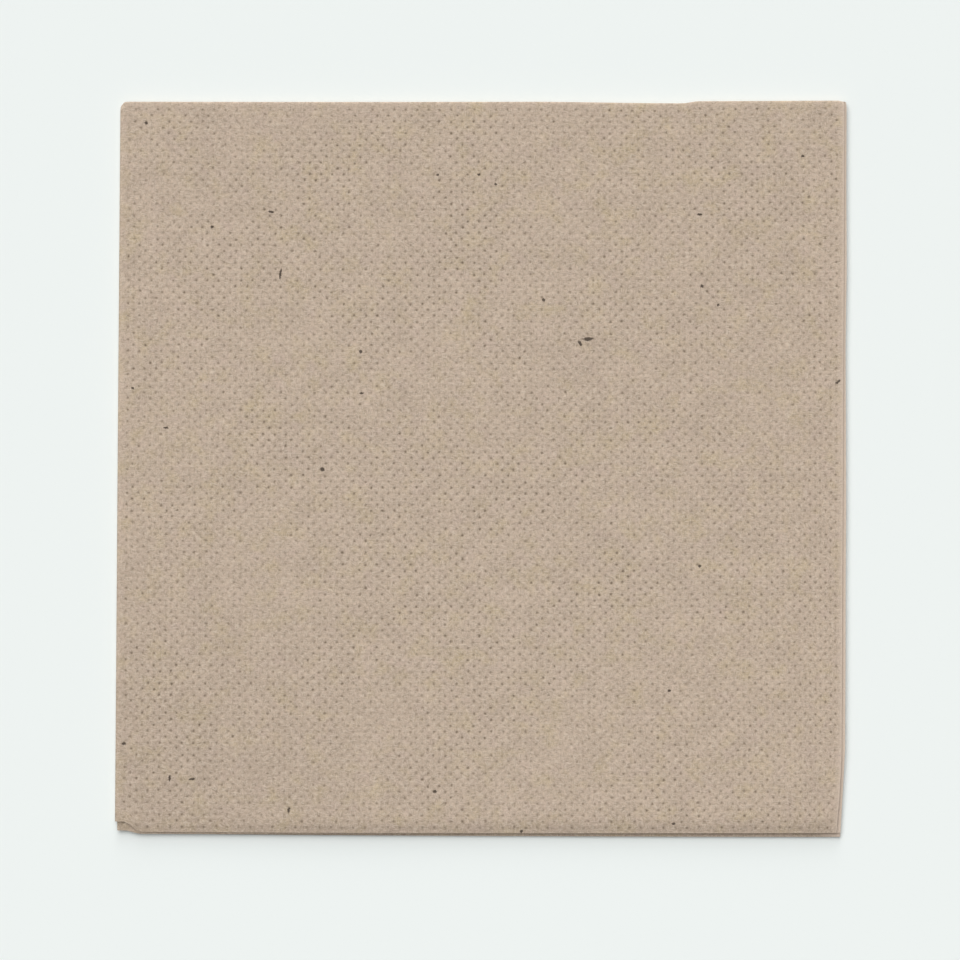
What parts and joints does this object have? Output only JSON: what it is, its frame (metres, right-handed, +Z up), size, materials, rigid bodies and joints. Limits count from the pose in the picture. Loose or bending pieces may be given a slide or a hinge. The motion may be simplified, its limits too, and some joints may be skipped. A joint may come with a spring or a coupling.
{
  "type": "folded paper napkin",
  "caption": "Unprinted kraft-brown tissue napkin with micro-embossing, one square sheet folded twice into a flat quarter with soft folds and raw cut edges.",
  "frame": {"origin": "centre of the footprint, on the surface that the napkin lies on", "axes": "+Z up out of the top leaf, +Y towards the two first folds, -X towards the last fold, so the cut edges are at +X and -Y"},
  "size_m": [0.1254, 0.1263, 0.0015],
  "materials": {
    "kraft_tissue": "unbleached recycled tissue, two plies, matt, pressed all over with small round dots in staggered rows"
  },
  "bodies": {
    "root": {"napkin": "kraft_tissue"}
  },
  "joints": []
}
